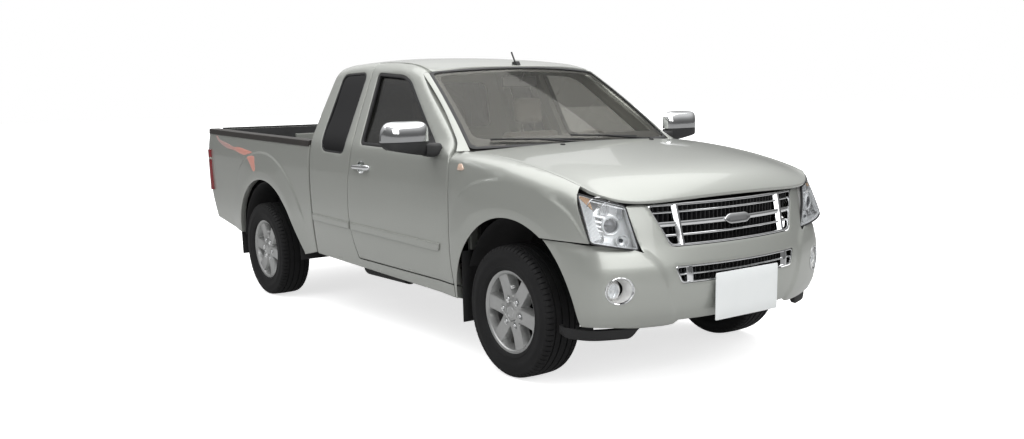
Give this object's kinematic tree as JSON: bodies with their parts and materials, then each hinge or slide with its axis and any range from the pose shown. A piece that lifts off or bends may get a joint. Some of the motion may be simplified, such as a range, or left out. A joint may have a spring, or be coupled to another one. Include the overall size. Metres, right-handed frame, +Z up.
{
  "type": "pickup truck",
  "caption": "Low pickup truck with an extended cab, an open load bed with a drop tailgate, cast wheels, opening doors and hood, and steering front wheels.",
  "frame": {"origin": "on the ground under the middle of the truck's length and width", "axes": "+X towards the front of the truck, +Y to its left, +Z up"},
  "size_m": [4.89, 2.3026, 1.6626],
  "materials": {
    "black_plastic": "grained",
    "painted": "metallic gloss",
    "frame_steel": "satin",
    "dark_glass": "polished",
    "interior": "grained",
    "glass": "polished",
    "chrome": "polished",
    "cast": "rough",
    "exhaust_steel": "dull",
    "lamp_lens": "polished",
    "plate": "gloss",
    "radiator_metal": "satin",
    "seat_cloth": "woven",
    "spare": "matt",
    "red_lens": "gloss",
    "tyre": "matt",
    "alloy": "lacquered"
  },
  "bodies": {
    "chassis": {"antenna": "black_plastic", "bed_box": "black_plastic", "bed_rails": "black_plastic", "bed_sides": "painted", "bumper": "painted", "cab_back": "painted", "cab_floor": "frame_steel", "cab_glass": "dark_glass", "cab_sides": "painted", "cowl_panel": "black_plastic", "dashboard": "interior", "drive_shaft": "frame_steel", "engine": "cast", "exhaust": "exhaust_steel", "fenders": "painted", "fog_lamps": "lamp_lens", "frame": "frame_steel", "front_suspension": "frame_steel", "fuel_tank": "frame_steel", "grilles": "chrome", "headlamps": "lamp_lens", "leaf_springs": "frame_steel", "number_plate": "plate", "radiator": "radiator_metal", "rear_axle": "frame_steel", "roof_panel": "painted", "seats": "seat_cloth", "spare_wheel": "spare", "splash_guards": "black_plastic", "steering_wheel": "interior", "tail_lamps": "red_lens", "windshield": "glass", "windshield_pillars": "painted", "wipers": "black_plastic"},
    "door_left": {"door_left": "painted", "door_glass_left": "glass", "mirror_left": "chrome", "door_handle_left": "chrome"},
    "knuckle_left": {"knuckle_left": "frame_steel"},
    "wheel_front_left": {"tyre_front_left": "tyre", "wheel_front_left": "alloy"},
    "wheel_rear_left": {"tyre_rear_left": "tyre", "wheel_rear_left": "alloy"},
    "door_right": {"door_right": "painted", "door_glass_right": "glass", "mirror_right": "chrome", "door_handle_right": "chrome"},
    "knuckle_right": {"knuckle_right": "frame_steel"},
    "wheel_front_right": {"tyre_front_right": "tyre", "wheel_front_right": "alloy"},
    "wheel_rear_right": {"tyre_rear_right": "tyre", "wheel_rear_right": "alloy"},
    "hood": {"hood": "painted"},
    "tailgate": {"tailgate": "painted"}
  },
  "joints": [
    {"name": "steer_left", "type": "hinge", "parent": "chassis", "child": "knuckle_left", "pos_m": [1.615, 0.64, 0.338], "axis": [0, 0, 1], "range_deg": [-34, 34]},
    {"name": "spin_front_left", "type": "hinge", "parent": "knuckle_left", "child": "wheel_front_left", "pos_m": [1.615, 0.73, 0.338], "axis": [0, 1, 0], "continuous": true},
    {"name": "spin_rear_left", "type": "hinge", "parent": "chassis", "child": "wheel_rear_left", "pos_m": [-1.435, 0.73, 0.338], "axis": [0, 1, 0], "continuous": true},
    {"name": "door_left_hinge", "type": "hinge", "parent": "chassis", "child": "door_left", "pos_m": [1.139, 0.85, 0.9], "axis": [0, 0, -1], "range_deg": [0, 65]},
    {"name": "steer_right", "type": "hinge", "parent": "chassis", "child": "knuckle_right", "pos_m": [1.615, -0.64, 0.338], "axis": [0, 0, 1], "range_deg": [-34, 34]},
    {"name": "spin_front_right", "type": "hinge", "parent": "knuckle_right", "child": "wheel_front_right", "pos_m": [1.615, -0.73, 0.338], "axis": [0, 1, 0], "continuous": true},
    {"name": "spin_rear_right", "type": "hinge", "parent": "chassis", "child": "wheel_rear_right", "pos_m": [-1.435, -0.73, 0.338], "axis": [0, 1, 0], "continuous": true},
    {"name": "door_right_hinge", "type": "hinge", "parent": "chassis", "child": "door_right", "pos_m": [1.139, -0.85, 0.9], "axis": [0, 0, 1], "range_deg": [0, 65]},
    {"name": "hood_hinge", "type": "hinge", "parent": "chassis", "child": "hood", "pos_m": [1.225, 0, 1.08], "axis": [0, -1, 0], "range_deg": [0, 50]},
    {"name": "tailgate_hinge", "type": "hinge", "parent": "chassis", "child": "tailgate", "pos_m": [-2.435, 0, 0.645], "axis": [0, -1, 0], "range_deg": [0, 90]}
  ],
  "couplings": [
    {"joint": "steer_right", "follows": "steer_left", "ratio": 1}
  ]
}
